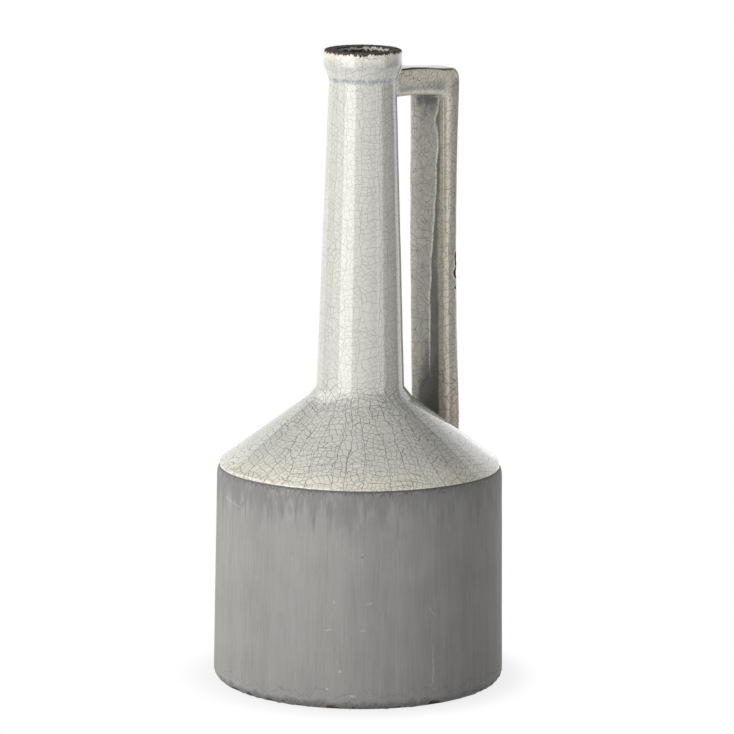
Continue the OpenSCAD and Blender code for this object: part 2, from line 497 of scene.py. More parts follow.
class Wire:
    """A shader socket that adds nodes where Python operators and methods meet it."""

    __add__ = node_method("Math", "ADD")
    __radd__ = node_method("Math", "ADD", swapped=True)
    __sub__ = node_method("Math", "SUBTRACT")
    __rsub__ = node_method("Math", "SUBTRACT", swapped=True)
    __mul__ = node_method("Math", "MULTIPLY")
    __rmul__ = node_method("Math", "MULTIPLY", swapped=True)
    __truediv__ = node_method("Math", "DIVIDE")
    __pow__ = node_method("Math", "POWER")
    __abs__ = node_method("Math", "ABSOLUTE")
    over = node_method("Math", "GREATER_THAN")
    most = node_method("Math", "MAXIMUM")
    sine = node_method("Math", "SINE")
    cosine = node_method("Math", "COSINE")
    arcsine = node_method("Math", "ARCSINE")
    angle_from = node_method("Math", "ARCTAN2")
    plus = node_method("VectorMath", "ADD")
    minus = node_method("VectorMath", "SUBTRACT")
    times = node_method("VectorMath", "MULTIPLY")
    parted = node_method("VectorMath", "DIVIDE")
    unit = node_method("VectorMath", "NORMALIZE")
    dot = node_method("VectorMath", "DOT_PRODUCT", out="Value")
    length = node_method("VectorMath", "LENGTH", out="Value")

    def __init__(self, graph: "Graph", socket: bpy.types.NodeSocket) -> None:
        """Hold a socket of a graph."""
        self.graph = graph
        self.socket = socket

    def twin(self, out: Any) -> "Wire":
        """Take another output of the node that this one comes from."""
        return Wire(self.graph, self.socket.node.outputs[out])

    def rise(self, low: float, high: float) -> "Wire":
        """Ease from 0 at low to 1 at high."""
        sockets = {"Value": self, "From Min": low, "From Max": high}
        return self.graph.node("MapRange", {"interpolation_type": "SMOOTHSTEP"}, sockets)

    def fall(self, low: float, high: float) -> "Wire":
        """Ease from 1 at low to 0 at high."""
        return 1 - self.rise(low, high)

    def scaled(self, factor: Any) -> "Wire":
        """Multiply a vector or a colour by a number."""
        return self.graph.node("VectorMath", {"operation": "SCALE"}, {0: self, "Scale": factor})

    def lowered(self, factor: float) -> "Wire":
        """Multiply only the height of a place, so that a noise read there runs upright."""
        return self.times((1.0, 1.0, factor))

    def split(self) -> tuple["Wire", "Wire", "Wire"]:
        """Take a vector apart."""
        x = self.graph.node("SeparateXYZ", {}, {0: self})
        return x, x.twin(1), x.twin(2)

    def noise(self, scale: float, detail: float = 2.0, out: str = "Fac") -> "Wire":
        """Read a noise at this place, with so many lumps in a unit and so many finer layers."""
        sockets = {"Vector": self, "Scale": scale, "Detail": detail}
        return self.graph.node("TexNoise", {}, sockets, out)

    def sway(self, scale: float, detail: float = 2.0) -> "Wire":
        """Read a noise that goes as far below zero as above."""
        return self.noise(scale, detail) - 0.5

    def cells(self, feature: str, out: str, on_line: bool = False, uneven: float = 1.0) -> "Wire":
        """Read a Voronoi texture at this place, with one cell in a unit.

        Args:
            feature: What the texture measures.
            out: Name of the output to hand back.
            on_line: Whether the place is a number, and not a vector.
            uneven: How far the cells stray from a regular grid.

        Returns:
            The chosen output.
        """
        settings = {"voronoi_dimensions": "1D" if on_line else "3D", "feature": feature}
        sockets = {"W" if on_line else "Vector": self, "Scale": 1.0, "Randomness": uneven}
        return self.graph.node("TexVoronoi", settings, sockets, out)

    def under(self, colour: Colour, share: Any) -> "Wire":
        """Lay a share of a colour over this one."""
        return self.graph.mix(share, self, colour)


class Graph:
    """A node tree under construction."""

    def __init__(self, tree: bpy.types.NodeTree) -> None:
        """Empty the tree."""
        self.tree = tree
        tree.nodes.clear()

    def node(
        self, kind: str, settings: dict[str, Any], sockets: dict[Any, Any], out: Any = 0
    ) -> Wire:
        """Add one node.

        Args:
            kind: The node's type, without its ShaderNode prefix.
            settings: Properties that are set first.
            sockets: Values or wires by socket name or number.
            out: Name or number of the output to hand back.

        Returns:
            The chosen output.
        """
        made = self.tree.nodes.new(f"ShaderNode{kind}")
        for name, value in settings.items():
            setattr(made, name, value)
        for name, value in sockets.items():
            if isinstance(value, Wire):
                self.tree.links.new(value.socket, made.inputs[name])
            else:
                made.inputs[name].default_value = value
        return Wire(self, made.outputs[out] if len(made.outputs) else None)

    def mix(self, share: Any, *colours: Wire | Colour) -> Wire:
        """Mix two colours by the share of the second."""
        first, second = (c if isinstance(c, Wire) else (*c, 1.0) for c in colours)
        return self.node("Mix", {"data_type": "RGBA"}, {0: share, 6: first, 7: second}, out=2)

    def attribute(self, name: str) -> Wire:
        """Read a number that was noted on the vertices."""
        return self.node("Attribute", {"attribute_name": name}, {}, "Fac")

    def millimetres(self) -> Wire:
        """Give the place on the object, in millimetres."""
        return self.node("TexCoord", {}, {}, "Object").scaled(1 / MM)

    def rays(self) -> tuple[Wire, Wire]:
        """Mark the rays that come from the camera, and those off or through something shiny."""
        seen = self.node("LightPath", {}, {}, "Is Camera Ray")
        return seen, seen.twin("Is Glossy Ray").most(seen.twin("Is Transmission Ray"))

    def surface(
        self, colour: Wire, rough: Any, relief: tuple[float, float, Wire], extra: dict[str, float]
    ) -> None:
        """Close a material with a bumped Principled surface.

        Args:
            colour: Its colour.
            rough: Its roughness.
            relief: Strength, depth in millimetres and height of the bumps.
            extra: Other sockets of the surface.
        """
        strength, depth, height = relief
        sockets = {"Strength": strength, "Distance": depth * MM, "Height": height}
        bump = self.node("Bump", {}, sockets, "Normal")
        sockets = {"Base Color": colour, "Roughness": rough, "Normal": bump, **extra}
        self.node("OutputMaterial", {}, {"Surface": self.node("BsdfPrincipled", {}, sockets)})


# Finishes


class Finish:
    """A finish that paints a material of its own."""

    def material(self, name: str) -> Material:
        """Make the material.

        Args:
            name: Its name.

        Returns:
            The painted material.
        """
        material = bpy.data.materials.new(name)
        material.use_nodes = True
        self.paint(Graph(material.node_tree))
        return material

    def paint(self, graph: Graph) -> None:
        """Fill the material's empty graph."""
        raise NotImplementedError


@dataclass(frozen=True)
class CrackleGlaze(Finish):
    """Pale crackle glaze over clay: creamy where it thins, blue grey where it pools, with painted
    light and shade laid into both.
    """

    layout: Layout
    pale: Colour = (0.59, 0.585, 0.535)
    cream: Colour = (0.78, 0.742, 0.64)
    pool_and_shade: Colour = (0.34, 0.37, 0.39)
    crack: Colour = (0.085, 0.082, 0.073)
    painted_reflection: Colour = (0.40, 0.34, 0.25)
    strips_on_cone: float = 40.0
    strips_on_neck: float = 17.0
    cone_top: float = 161.0
    patch: float = 8.5
    row: float = 4.3
    split: float = 3.0
    brick: float = 2.5
    shuffle: float = 60.0
    lean: float = 1.5
    line: float = 0.21
    neck_lines: float = 0.52
    neck_ease: float = 12.0
    wander: tuple[Place, ...] = ((4.4, 30.0), (2.3, 10.5), (0.75, 4.0))
    gloss: float = 0.05
    flaws: tuple[Pair, ...] = ()

    @staticmethod
    def cuts(along: Wire) -> tuple[Wire, Wire, Wire]:
        """Cut a line into pieces of uneven length.

        Args:
            along: Place on the line, in mean pieces.

        Returns:
            The way to the nearest cut, a random colour for each piece, and the way from its middle.
        """
        colour = along.cells("F1", "Color", on_line=True, uneven=0.9)
        gap = along.cells("DISTANCE_TO_EDGE", "Distance", on_line=True, uneven=0.9)
        return gap, colour, along - colour.twin("W")

    @staticmethod
    def level(across: Wire, normal: Wire) -> Wire:
        """Give how much of a direction lies in the surface."""
        tilt = across.dot(normal)
        return (1 - tilt * tilt).most(0.03) ** 0.5

    def strap_cracks(self, place: Wire, normal: Wire) -> list[Wire]:
        """Lay out cracks over a strap: round patches, then cuts at random angles within them.

        Args:
            place: Place in millimetres.
            normal: Surface normal.

        Returns:
            The way to the nearest crack of each order, in millimetres.
        """
        spot = place.scaled(1 / self.patch)
        colour = spot.cells("F1", "Color")
        near = colour.twin("Position")
        far = spot.cells("F2", "Position")
        across = far.minus(near).unit()
        gap = near.plus(far).scaled(0.5).minus(spot).dot(across)
        out = [gap / self.level(across, normal) * self.patch]
        for size in (self.split, self.brick):
            across = colour.minus(MID_GREY).unit()
            seed = colour.split()[0] * self.shuffle
            gap, colour, _ = self.cuts(place.dot(across) / size + seed)
            out.append(gap * size / self.level(across, normal))
        return out

    def turned_cracks(self, place: Wire) -> list[Wire]:
        """Lay out cracks over a turned form: strips down the slope, rows, splits and bricks.

        Args:
            place: Place in millimetres.

        Returns:
            The way to the nearest crack of each order, in millimetres.
        """
        x, y, z = place.split()
        radius = place.lowered(0.0).length()
        fewer = self.strips_on_neck - self.strips_on_cone
        strips = self.strips_on_cone + z.over(self.cone_top) * fewer
        width = radius * math.tau / strips
        gap, colour, off = self.cuts((0 - y).angle_from(0 - x) / math.tau * strips)
        out = [gap * width]
        aside, ahead = off * width, z - radius * 0.5
        orders = (self.row, False, True), (self.split, True, True), (self.brick, False, False)
        for size, upright, leaning in orders:
            seed, chance, _ = colour.split()
            if leaning:
                aside, ahead = self.turned(aside, ahead, chance)
            along = aside if upright else ahead
            gap, colour, _ = self.cuts(along / size + seed * self.shuffle)
            out.append(gap * size)
        return out

    def turned(self, aside: Wire, ahead: Wire, chance: Wire) -> tuple[Wire, Wire]:
        """Turn a pair of surface coordinates by a random lean.

        Args:
            aside: Place across the slope.
            ahead: Place along the slope.
            chance: Random number from 0 to 1.

        Returns:
            The turned pair.
        """
        angle = (chance - 0.5) * self.lean
        cosine, sine = angle.cosine(), angle.sine()
        return aside * cosine + ahead * sine, ahead * cosine - aside * sine

    def lines(self, place: Wire) -> Wire:
        """Draw the crack lines.

        Args:
            place: Place in millimetres.

        Returns:
            How dark the lines are, from 0 to 1.
        """
        bent = place
        for far, size in self.wander:
            bent = bent.plus(place.noise(1 / size, 1.0, "Color").minus(MID_GREY).scaled(2 * far))
        if self.layout is Layout.STRAP:
            gaps = self.strap_cracks(bent, place.graph.node("NewGeometry", {}, {}, "Normal"))
        else:
            gaps = self.turned_cracks(bent)
        fade = place.noise(0.11).rise(0.25, 0.6) * 0.35 + 0.65
        finest = 0.68 * fade * place.noise(0.06, 1.0).rise(0.34, 0.54)
        out = gaps[0].fall(0.2 * self.line, self.line) * 0.9
        for gap, share in zip(gaps[1:], (0.84 * fade, 0.8 * fade, finest)):
            out = out.most(gap.fall(0.2 * self.line, 0.95 * self.line) * share)
        on_neck = place.split()[2].rise(self.cone_top, self.cone_top + self.neck_ease)
        return out * (1 - on_neck * (1 - self.neck_lines))

    def paint(self, graph: Graph) -> None:
        """Paint the glaze over the places where it pools and thins, with its painted shade and
        highlights and its cracks.

        Args:
            graph: The material's graph.
        """
        place = graph.millimetres()
        lines = self.lines(place)
        cloud, fine = place.sway(0.16, 3.0), place.sway(0.9)
        # On the handle this share also carries painted shade, highlights and reflections.
        depth = graph.attribute("cream") + cloud * 0.25
        for centre, size in self.flaws:
            away = place.minus(centre).parted(size).length() + fine * 0.5
            depth = depth.most(away.fall(1.4, 1.6) * 1.15)
        colour = graph.mix(depth.rise(0.5, 1.0), self.pale, self.cream)
        colour = colour.under(self.pool_and_shade, depth.fall(0.0, 0.5))
        # Above 1.35 the crack colour paints the dark reflection line along the handle arm's top front
        # edge.
        colour = colour.under(self.crack, depth.rise(1.35, 1.6))
        # Painted reflection: the brown of the neck's shaded side on the handle's front inner edge.
        colour = colour.under(self.painted_reflection, graph.attribute("painted_reflection"))
        colour = colour.scaled(1 + cloud * 0.12 + fine * 0.08)
        speck = place.noise(1.4).rise(0.54, 0.66) * depth.fall(0.1, 0.35)
        colour = colour.under(self.crack, lines.most(speck * 0.5))
        rough = self.gloss + lines * 0.15 + place.noise(0.3) * 0.04
        graph.surface(colour, rough, (0.12, 0.4, place.noise(0.09, 1.0)), {"IOR": 1.52})


@dataclass(frozen=True)
class Mark:
    """A scratch, fleck or pit, placed on the unrolled wall in millimetres."""

    side: float
    z: float
    half_length: float
    half_width: float
    lean: float = 0.0
    light: bool = True


@dataclass(frozen=True)
class BrushedEngobe(Finish):
    """Matte grey engobe, brushed on in upright strokes and worn at its foot."""

    line_z: float
    sag: float
    wall_r: float
    front: Vector
    tone: Colour = (0.322, 0.316, 0.302)
    dark: Colour = (0.205, 0.202, 0.196)
    worn: Colour = (0.085, 0.082, 0.076)
    chalk: Colour = (0.60, 0.59, 0.56)
    marks: tuple[Mark, ...] = (
        Mark(-86.0, 105.7, 10.0, 0.25, 97.0),
        Mark(42.7, 24.0, 12.0, 0.3),
        Mark(-9.8, 21.8, 0.9, 0.8),
        Mark(-17.0, 11.7, 0.8, 0.7),
        Mark(-3.0, 8.2, 2.4, 0.8, 90.0),
        Mark(-13.2, 60.0, 0.8, 0.5),
        Mark(5.8, 59.4, 1.8, 0.4, 75.0),
        Mark(-16.1, 44.6, 1.8, 0.4, 70.0),
        Mark(2.5, 44.6, 1.5, 0.4, 85.0),
        Mark(41.8, 53.0, 3.4, 0.25, 145.0),
        Mark(-74.5, 107.0, 0.8, 0.8, 0.0, False),
        Mark(17.0, 118.4, 1.6, 0.7, 12.0, False),
        Mark(1.5, 85.0, 0.6, 0.6, 0.0, False),
    )

    @staticmethod
    def mask(side: Wire, z: Wire, mark: Mark) -> Wire:
        """Mask one mark.

        Args:
            side: Way round the wall.
            z: Height.
            mark: The mark.

        Returns:
            The mask from 0 to 1.
        """
        cosine, sine = math.cos(math.radians(mark.lean)), math.sin(math.radians(mark.lean))
        right, up = side - mark.side, z - mark.z
        wide = abs(right * cosine - up * sine).fall(0.5 * mark.half_width, 1.3 * mark.half_width)
        return wide * abs(up * cosine + right * sine).fall(0.75 * mark.half_length, mark.half_length)

    def paint(self, graph: Graph) -> None:
        """Paint the strokes, the stain and painted shadow line under the glaze's edge, painted shade
        on the right and painted light on the left, the worn foot and the marks.

        Args:
            graph: The material's graph.
        """
        place = graph.millimetres()
        z = place.split()[2]
        aside = place.dot(right_of(self.front))
        strokes = place.lowered(0.045).noise(1.4, 5.0)
        bands, clouds = place.lowered(0.045).sway(0.14, 3.0), place.sway(0.05, 3.0)
        grain = place.noise(2.6, 3.0)
        blend = (strokes - 0.5) * 1.15 + bands * 0.75 + clouds * 0.6 + 0.2
        # Painted shade: the engobe turns darker across the right side of the front.
        colour = graph.mix(blend + aside.rise(0, 48) * 0.36, self.tone, self.dark)
        below = self.line_z - z - self.sag * (aside / self.wall_r) ** 4
        runs = place.lowered(0.06).noise(0.36, 4.0)
        fringe = (below / (6.0 + runs.rise(0.3, 0.75) * 26.0)).fall(0.5, 1.1)
        colour = colour.under(self.dark, fringe * (0.3 + strokes.rise(0.35, 0.62) * 0.75))
        blots = place.lowered(0.5).noise(0.13, 4.0)
        colour = colour.under(self.dark, blots.rise(0.46, 0.6) * below.fall(8, 32) * 0.65)
        wet = (below / (0.5 + runs * 6.0)).fall(0.4, 1.0) * strokes.rise(0.45, 0.6)
        colour = colour.under(self.worn, wet * 0.5)
        # A narrow dark line just under the glaze's edge: darker engobe, deepened as the edge's painted
        # shadow.
        colour = colour.under(self.worn, below.fall(0.6, 1.1) * 0.6)
        tide = place.lowered(0.3).noise(0.2, 4.0)
        line = abs(z - tide * 18.0).fall(0.1, 0.6) * grain.rise(0.38, 0.58)
        colour = colour.under(self.worn, line * 0.5)
        wear = (z - tide * 7.5 - (grain - 0.5) * 11.0).fall(-0.6, 1.2)
        colour = colour.under(self.worn, wear * (0.35 + grain.rise(0.45, 0.6) * 0.6))
        side = aside.angle_from(place.dot(self.front)) * self.wall_r + place.sway(0.2) * 1.6
        for mark in self.marks:
            mask = self.mask(side, z, mark) * grain.rise(0.4, 0.55)
            colour = colour.under(self.chalk if mark.light else self.worn, mask * 0.6)
        # Painted light: a sheen on the engobe near the left edge of the front.
        colour = colour.scaled(0.96 + (grain - 0.5) * 0.42 + aside.fall(-74, -50) * 0.09)
        relief = (0.4, 0.3, strokes * 0.6 + grain * 0.6)
        graph.surface(colour, 0.56 + strokes * 0.12, relief, {"Specular IOR Level": 0.45})


@dataclass(frozen=True)
class BareClay(Finish):
    """Dark fired clay, rough and grainy, with a trace of glaze inside a mouth that has one."""

    tone: Colour = (0.105, 0.078, 0.066)
    dark: Colour = (0.022, 0.018, 0.016)
    light: Colour = (0.26, 0.21, 0.185)
    glaze: Colour = (0.72, 0.69, 0.6)
    glaze_r: float = 0.0
    glaze_z: float = 0.0

    def paint(self, graph: Graph) -> None:
        """Paint the grain, the sand and the trace of glaze.

        Args:
            graph: The material's graph.
        """
        place = graph.millimetres()
        grain, sand = place.noise(0.9, 4.0), place.noise(3.0)
        colour = graph.mix(grain.rise(0.42, 0.62), self.dark, self.tone)
        colour = colour.under(self.light, sand.rise(0.55, 0.72) * 0.7)
        if self.glaze_r > 0:
            left = place.lowered(0.0).length().fall(self.glaze_r + 0.1, self.glaze_r + 0.7)
            below = self.glaze_z - place.split()[2] + place.sway(0.5, 3.0) * 4.0
            colour = colour.under(self.glaze, left * abs(below - 1.2).fall(0.5, 0.8))
        graph.surface(colour, 0.85, (0.8, 0.5, grain + sand * 0.5), {"Specular IOR Level": 0.25})


@dataclass(frozen=True)
class FloorWhite(Finish):
    """White floor that shows the shadow near the foot and shines where it is only seen."""

    shadow: Place = (80.0, 104.0)
    glow: float = 0.82
    matte: float = 0.75

    def paint(self, graph: Graph) -> None:
        """Paint a matte floor for the light and a white one for the eye.

        Args:
            graph: The material's graph.
        """
        far = graph.millimetres().length().rise(*self.shadow)
        seen, mirrored = graph.rays()
        white = graph.node("Emission", {}, {"Color": WHITE, "Strength": 1.0})
        matte = graph.node("BsdfDiffuse", {}, {"Color": (self.matte, self.matte, self.matte, 1.0)})
        share = seen.most(mirrored) * (self.glow + far * (1 - self.glow))
        surface = graph.node("MixShader", {}, {0: share, 1: matte, 2: white})
        graph.node("OutputMaterial", {}, {"Surface": surface})


# Coats


@dataclass
class EngobeCoat:
    """Engobe over the body, from the worn foot to just under the glaze's edge."""

    vessel: Vessel
    thickness: float = 0.14
    under: float = 0.03
    foot_z: float = 0.6
    top_z: float = 121.8
    step: float = 1.6
    skip: int = 6
    turns: int = 448

    def build(self) -> Piece:
        """Turn the coat and give it the unevenness of hand work.

        Returns:
            The finished coat.
        """
        skin = self.vessel.skin
        first, last = skin.distance_at(self.foot_z), skin.distance_at(self.top_z)
        stations = evenly(first, last, round((last - first) / self.step))
        profile = skin.coat(stations, lambda _: self.thickness, self.under, self.skip)
        piece = Bench.turn("engobe_coat", profile, self.turns)
        foot = Bench.weigh(piece, lambda p: smooth_step(9.0, self.foot_z, p.z))
        Bench.lumps(piece, size=4.0, height=1.6, group=foot, direction="Z", depth=3, level=0.45)
        face = Bench.weigh(piece, lambda p: smooth_step(2, 12, p.z) * smooth_step(119, 112, p.z))
        Bench.lumps(piece, size=26.0, height=0.22, group=face, depth=2)
        return piece


@dataclass
class LipClay:
    """The wiped lip: a ring of rough bare clay over the collar's flat top."""

    vessel: Vessel
    skirt: float = 4.5
    depth: float = 9.0
    under: float = 0.03
    over: float = 0.12
    steps: int = 60
    skip: int = 4
    turns: int = 320

    def build(self) -> Piece:
        """Turn the ring and roughen it.

        Returns:
            The finished ring.
        """
        v = self.vessel
        ring = Outline((
            Corner(v.lip_r + self.under, v.lip_z - self.skirt),
            Corner(v.lip_r, v.lip_z, v.lip_round),
            Corner(v.mouth_r, v.lip_z, v.lip_round),
            Corner(v.mouth_r, v.lip_z - self.depth),
        ))
        stations = evenly(0.0, ring.lengths[-1], self.steps)
        profile = ring.coat(stations, lambda _: self.over, self.under, self.skip)
        piece = Bench.turn("lip_clay", profile, self.turns)
        top = Bench.weigh(piece, lambda p: smooth_step(v.lip_z - 0.9, v.lip_z, p.z))
        Bench.lumps(piece, size=1.3, height=0.45, group=top, depth=3)
        return piece


@dataclass
class GlazeCoat:
    """Glaze over shoulder, neck and collar, rolled at its lower edge and ragged at the lip."""

    vessel: Vessel
    front: Vector
    thickness: float = 0.36
    under: float = 0.05
    line_z: float = 120.6
    roll: float = 0.2
    roll_length: float = 1.0
    crease_pool: float = 0.45
    lip_drop: float = 0.55
    skip: int = 9
    turns: int = 480
    lip_fine: float = 5.0
    sag: float = 1.1
    sag_lift: float = 0.9
    steps: tuple[float, float, float] = (0.28, 1.1, 2.6)

    def lift(self, station: float) -> float:
        """Thickness of the glaze at a distance along the skin.

        Args:
            station: The distance.

        Returns:
            The thickness.
        """
        skin = self.vessel.skin
        edge = station - skin.distance_at(self.line_z)
        crease = station - skin.distance_at(self.vessel.collar_z)
        rolled = self.roll * bell(1.1, self.roll_length, edge) - self.thickness * bell(0, 0.4, edge)
        return self.thickness + rolled + self.crease_pool * bell(0.0, 1.8, crease)

    def stations(self) -> list[float]:
        """Distances along the skin, close together at the edges and curves.

        Returns:
            The distances in order.
        """
        v = self.vessel
        fine, middle, coarse = self.steps
        start = v.skin.distance_at(self.line_z)
        stretches = (
            (start + 4.0, fine),
            (v.skin.distance_at(v.shoulder_h + 9.0), middle),
            (v.skin.distance_at(v.neck_foot_z - 10.0), coarse),
            (v.skin.distance_at(v.neck_foot_z + 12.0), middle),
            (v.skin.distance_at(v.collar_z - 6.0), coarse),
            (v.skin.distance_at(v.lip_z - self.lip_fine), middle * 0.6),
            (v.skin.distance_at(v.lip_z - self.lip_drop), fine),
        )
        out = [start]
        for stop, step in stretches:
            out.extend(evenly(start, stop, max(1, round((stop - start) / step)))[1:])
            start = stop
        return out

    def build(self) -> Piece:
        """Turn the coat, wave its lower edge and break its edge at the lip.

        Returns:
            The finished coat.
        """
        lip_z = self.vessel.lip_z
        profile = self.vessel.skin.coat(self.stations(), self.lift, self.under, self.skip)
        piece = Bench.turn("glaze_coat", profile, self.turns)
        sag = Bench.weigh(piece, self.sagging)
        Bench.push(piece, sag, "Z", -self.sag)
        Bench.push(piece, sag, "NORMAL", self.sag_lift)
        line = Bench.weigh(piece, lambda p: smooth_step(124.0, 121.0, p.z))
        Bench.lumps(piece, size=16.0, height=1.0, group=line, direction="Z", depth=2)
        edge = Bench.weigh(piece, lambda p: smooth_step(122.6, 120.8, p.z))
        Bench.lumps(piece, size=3.0, height=0.6, group=edge, direction="Z", depth=2)
        lip = Bench.weigh(piece, lambda p: smooth_step(lip_z - 5.0, lip_z - 0.6, p.z))
        Bench.lumps(piece, size=1.2, height=4.6, group=lip, direction="Z", depth=3, level=0.63)
        face = Bench.weigh(
            piece, lambda p: smooth_step(122, 128, p.z) * smooth_step(lip_z - 1, lip_z - 5, p.z)
        )
        Bench.lumps(piece, size=24.0, height=0.2, group=face)
        Bench.note(piece, "cream", self.cream)
        return piece

    def sagging(self, place: Vector) -> float:
        """How much a place takes part in the lower edge's sag: most on the left and right."""
        aside = place.dot(right_of(self.front)) / math.hypot(place.x, place.y)
        return aside**4 * smooth_step(126.0, 121.0, place.z)

    def cream(self, place: Vector, _: Vector) -> float:
        """How creamy the glaze looks at a place: 0 where it pools and in its painted shade, 1 where it
        thins out.

        Args:
            place: The place in millimetres.

        Returns:
            The share from 0 to 1.
        """
        v = self.vessel
        ticks = noise.noise(Vector((place.x, place.y, place.z * 0.4)) * 1.7)
        mottle = ticks * 0.7 + noise.noise(place * 0.25) * 0.5
        drip = noise.noise(Vector((place.x, place.y, 0.0)) * 0.8)
        edge = smooth_step(140.0, 121.0, place.z)
        lip = smooth_step(v.collar_z + 7.0, v.lip_z - 1.5, place.z)
        crease = bell(v.collar_z - 0.4 - drip * 1.2, 1.2, place.z) * smooth_step(-0.6, 0.25, mottle)
        # sweep: glaze pooled in the fillet at the neck's foot, deepened as painted shade.
        sweep = bell(v.neck_foot_z - 2.0, 3.6, place.z) * (0.5 + mottle)
        # flare: darker blue grey round the collar's bulge, painted shade over the glaze's pooling.
        flare = bell(v.collar_z + 6.8, 2.8, place.z)
        return 0.5 + 0.36 * edge + 0.4 * lip - 0.55 * crease - 0.2 * sweep - 0.16 * flare


@dataclass
class GlazedHandle:
    """The square handle under its glaze: an arm, a corner and a strap drawn from one section."""

    vessel: Vessel
    coat: Piece
    glaze: float = 0.35
    width: float = 27.3
    inside_round: float = 4.6
    outside_round: float = 2.4
    crown: float = 0.6
    arm_root: Place = (324.2, 339.5)
    arm_end: Place = (320.7, 334.3)
    corner: Place = (53.1, 64.8)
    corner_in: float = 3.4
    corner_out: float = 4.4
    strap_in: tuple[float, float, float] = (53.1, 54.8, 57.5)
    strap_t: tuple[float, float, float] = (11.7, 9.4, 12.6)
    strap_end_z: float = 120.24
    strap_stop_z: float = 142.0
    halves: Place = (225.0, 265.0)
    root_x: float = 27.0
    arm_steps: int = 14
    bend_steps: int = 16
    strap_steps: int = 66
    corner_steps: int = 9
    flat_steps: tuple[int, int] = (36, 4)
    twist: float = 0.85
    flare: tuple[float, ...] = (0.9, 0.3, 0.0, 0.0)
    stand: tuple[float, ...] = (-0.3, 0.5, 1.5, 3.0)
    chips: tuple[tuple[float, float, float], ...] = (
        (228.3, 4.4, 1.6),
        (220.6, 3.3, 2.6),
        (212.3, 1.3, 2.1),
    )
    chip_turn: float = 15.0
    chip_depth: float = 0.8

    @property
    def hub_x(self) -> float:
        """Distance of the inner round's centre from the axis."""
        return self.corner[0] - self.corner_in

    @property
    def strap_top(self) -> float:
        """Height at which the strap runs out of the corner."""
        return self.arm_end[0] - self.corner_in

    def arm(self, x: float) -> Pair:
        """Lower and upper point of the arm at a distance from the axis.

        Args:
            x: The distance.

        Returns:
            The two points, as distance and height.
        """
        low, high = (
            root + (end - root) * x / corner
            for root, end, corner in zip(self.arm_root, self.arm_end, self.corner)
        )
        return Vector((x, low - self.glaze)), Vector((x, high + self.glaze))

    def strap(self, z: float) -> Pair:
        """Inner and outer point of the strap at a height.

        Args:
            z: The height.

        Returns:
            The two points, as distance and height.
        """
        t = (self.strap_top - z) / (self.strap_top - self.strap_end_z)
        shares = ((1 - t) * (1 - 2 * t), 4 * t * (1 - t), t * (2 * t - 1))
        inner, thick = (
            sum(w * x for w, x in zip(shares, sizes)) for sizes in (self.strap_in, self.strap_t)
        )
        return Vector((inner - self.glaze, z)), Vector((inner + thick + self.glaze, z))

    def bend(self, angle: float) -> Pair:
        """Inner and outer point of the corner on a ray from the inner round's centre.

        Args:
            angle: The ray's angle above the level.

        Returns:
            The two points, as distance and height.
        """
        ray = Vector((math.cos(angle), math.sin(angle)))
        low, high = self.arm(self.hub_x)
        hub = Vector((self.hub_x, low.y + self.glaze - self.corner_in))
        inner = hub + ray * (self.corner_in - self.glaze)
        right = self.corner[1] + self.glaze
        slope = (self.arm_end[1] - self.arm_root[1]) / self.corner[1]
        reach = (right - hub.x) / max(ray.x, TINY)
        reach = min(reach, (high.y - hub.y) / max(ray.y - slope * ray.x, TINY))
        turn_r = self.corner_out + self.glaze
        turn = Vector((right - turn_r, high.y + slope * (right - turn_r - hub.x) - turn_r))
        outer = hub + ray * reach
        if outer.x > turn.x and outer.y > turn.y:
            along = ray.dot(turn - hub)
            outer = hub + ray * (along + math.sqrt(along**2 - (turn - hub).length_squared + turn_r**2))
        return inner, outer

    def rails(self) -> list[Pair]:
        """Pairs of points that the section spans, from the neck to the shoulder.

        Returns:
            The pairs in order.
        """
        pairs = [self.arm(x) for x in evenly(self.root_x, self.hub_x, self.arm_steps)[:-1]]
        for i in range(self.bend_steps):
            pairs.append(self.bend(math.pi / 2 * (1 - i / self.bend_steps)))
        stations = evenly(self.strap_top, self.strap_stop_z, self.strap_steps)
        return pairs + [self.strap(z) for z in stations]

    def section(self, half_t: float, half_w: float) -> list[Place]:
        """Round-cornered section with slightly crowned faces.

        Args:
            half_t: Half the thickness.
            half_w: Half the width.

        Returns:
            Points round the section, as thickness and width.
        """
        radii = (self.outside_round, self.inside_round, self.inside_round, self.outside_round)
        signs = ((1, 1), (-1, 1), (-1, -1), (1, -1))
        last = self.corner_steps - 1
        arcs = []
        for quarter, (r, (sign_t, sign_w)) in enumerate(zip(radii, signs)):
            angles = [math.pi / 2 * (quarter + i / last) for i in range(self.corner_steps)]
            hub = (sign_t * (half_t - r), sign_w * (half_w - r))
            arcs.append([(hub[0] + r * math.cos(a), hub[1] + r * math.sin(a)) for a in angles])
        out = []
        for quarter, arc in enumerate(arcs):
            out.extend(arc)
            a, b = arc[-1], arcs[(quarter + 1) % 4][0]
            turned = math.pi / 2 * (quarter + 1)
            steps = self.flat_steps[(quarter + 1) % 2]
            for i in range(1, steps):
                share = i / steps
                bulge = self.crown * 4 * share * (1 - share)
                out.append((
                    a[0] + (b[0] - a[0]) * share + math.cos(turned) * bulge,
                    a[1] + (b[1] - a[1]) * share + math.sin(turned) * bulge,
                ))
        return out

    @staticmethod
    def spot(pair: Pair) -> tuple[Vector, float, float]:
        """Centre in metres, length and angle above the level of a section between two rail points."""
        middle, span = (pair[0] + pair[1]) / 2, pair[1] - pair[0]
        return Vector((middle.x, 0, middle.y)) * MM, span.length, math.atan2(span.y, span.x)

